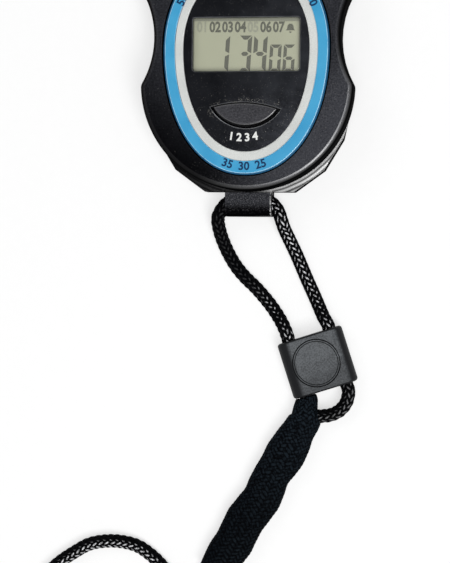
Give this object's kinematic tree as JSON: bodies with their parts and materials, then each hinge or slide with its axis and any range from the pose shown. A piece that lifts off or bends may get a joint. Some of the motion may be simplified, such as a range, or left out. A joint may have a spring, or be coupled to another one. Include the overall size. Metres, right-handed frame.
{
  "type": "stopwatch",
  "caption": "Digital stopwatch with an egg-shaped face, shoulder buttons and a lens-shaped mode button, on a braided neck lanyard with a slider and a knitted sleeve.",
  "frame": {"origin": "on the table, under the middle of the watch's outline without its lanyard", "axes": "+Z out of the face, +X to the right of the face as it is read, +Y towards the edge with the shoulder buttons, away from the lug"},
  "size_m": [0.1072, 0.2672, 0.0187],
  "materials": {
    "black_plastic": "moulded, satin",
    "button_plastic": "moulded, satin",
    "blue_lacquer": "pearl blue",
    "white_lacquer": "off-white",
    "panel_lacquer": "printed black, worn",
    "clear_window": "clear",
    "display_glass": "grey-green display",
    "reflector_foil": "silvered foil",
    "holder_plastic": "ivory",
    "connector_rubber": "soft, dark",
    "board_resin": "green solder mask",
    "epoxy": "black",
    "ceramic": "fired tan",
    "plated_steel": "plated",
    "cell_nickel": "nickel plated",
    "brass": "sheet brass",
    "cord_braid": "tightly braided polyester",
    "sleeve_knit": "knitted tube",
    "slider_rubber": "dusty dark grey"
  },
  "bodies": {
    "case": {"front_shell": "black_plastic", "back_shell": "black_plastic", "battery_door": "black_plastic", "blue_trim_ring": "blue_lacquer", "white_trim_ring": "white_lacquer", "face_panel": "panel_lacquer", "display_window": "clear_window", "lcd_glass": "display_glass", "lcd_reflector": "reflector_foil", "lcd_holder": "holder_plastic", "zebra_strip_top": "connector_rubber", "zebra_strip_bottom": "connector_rubber", "circuit_board": "board_resin", "controller_blob": "epoxy", "quartz_crystal": "plated_steel", "capacitor_1": "ceramic", "capacitor_2": "ceramic", "mode_dome": "connector_rubber", "left_switch": "epoxy", "right_switch": "epoxy", "battery_cell": "cell_nickel", "battery_contact_plus": "brass", "battery_contact_minus": "brass", "door_screw": "plated_steel", "buzzer_disc": "brass", "buzzer_spring": "plated_steel", "case_screw_1": "plated_steel", "case_screw_2": "plated_steel", "case_screw_3": "plated_steel", "case_screw_4": "plated_steel", "board_screw_1": "plated_steel", "board_screw_2": "plated_steel", "board_screw_3": "plated_steel", "lanyard_loop": "cord_braid", "cord_tail_left": "cord_braid", "cord_tail_right": "cord_braid", "lanyard_sleeve": "sleeve_knit", "neck_cord_arc": "cord_braid", "neck_coil": "cord_braid", "neck_cord_return": "cord_braid"},
    "left_button": {"left_button": "button_plastic"},
    "right_button": {"right_button": "button_plastic"},
    "mode_button": {"mode_button": "button_plastic"},
    "slider": {"lanyard_slider": "slider_rubber"}
  },
  "joints": [
    {"name": "left_button_press", "type": "slide", "parent": "case", "child": "left_button", "axis": [0.6293, -0.7771, 0], "range_m": [0, 0.001], "stiffness_N_per_m": 1500},
    {"name": "right_button_press", "type": "slide", "parent": "case", "child": "right_button", "axis": [-0.6293, -0.7771, 0], "range_m": [0, 0.001], "stiffness_N_per_m": 1500},
    {"name": "mode_button_press", "type": "slide", "parent": "case", "child": "mode_button", "axis": [0, 0, -1], "range_m": [0, 0.001], "stiffness_N_per_m": 1500},
    {"name": "slider_slide", "type": "slide", "parent": "case", "child": "slider", "axis": [-0.314, 0.9494, 0], "range_m": [0, 0.014], "deforming": ["lanyard_loop"]}
  ]
}
